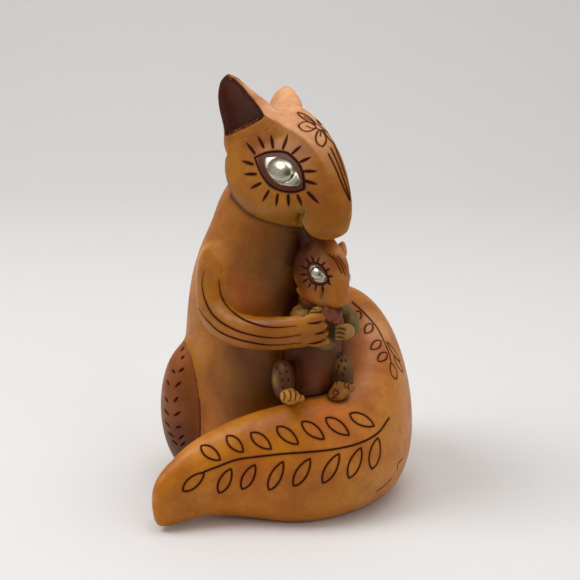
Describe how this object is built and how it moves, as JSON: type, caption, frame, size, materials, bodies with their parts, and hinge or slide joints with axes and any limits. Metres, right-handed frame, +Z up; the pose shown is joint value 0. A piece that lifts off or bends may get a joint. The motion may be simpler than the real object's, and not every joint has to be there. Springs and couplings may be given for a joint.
{
  "type": "squirrel figurine",
  "caption": "Hand-decorated earthenware squirrel that hugs her young inside the ring of her tail, an ornament for a shelf.",
  "frame": {"origin": "bottom centre of the bounding box, on the floor plane", "axes": "+Z up, +X to the viewer's right, -Y to the display front, where the tail crosses"},
  "size_m": [0.1179, 0.124, 0.1883],
  "materials": {
    "body_clay": "satin",
    "head_clay": "satin",
    "tail_clay": "satin",
    "ear_clay": "satin",
    "eye_lustre": "platinum lustre",
    "arm_clay": "satin",
    "haunch_clay": "satin",
    "baby_clay": "satin",
    "baby_head_clay": "satin",
    "baby_arm_clay": "satin",
    "baby_leg_clay": "satin",
    "nut_clay": "satin"
  },
  "bodies": {
    "root": {"mother_body": "body_clay", "mother_head": "head_clay", "tail": "tail_clay", "mother_ear_right": "ear_clay", "mother_eye_right": "eye_lustre", "mother_arm_right": "arm_clay", "mother_hand_right": "arm_clay", "mother_haunch_right": "haunch_clay", "mother_ear_left": "ear_clay", "mother_eye_left": "eye_lustre", "mother_arm_left": "arm_clay", "mother_hand_left": "arm_clay", "mother_haunch_left": "haunch_clay", "baby_body": "baby_clay", "baby_head": "baby_head_clay", "baby_ear_right": "baby_head_clay", "baby_eye_right": "eye_lustre", "baby_arm_right": "baby_arm_clay", "baby_hand_right": "baby_arm_clay", "baby_leg_right": "baby_leg_clay", "baby_foot_right": "baby_leg_clay", "baby_ear_left": "baby_head_clay", "baby_eye_left": "eye_lustre", "baby_arm_left": "baby_arm_clay", "baby_hand_left": "baby_arm_clay", "baby_leg_left": "baby_leg_clay", "baby_foot_left": "baby_leg_clay", "nut": "nut_clay"}
  },
  "joints": []
}
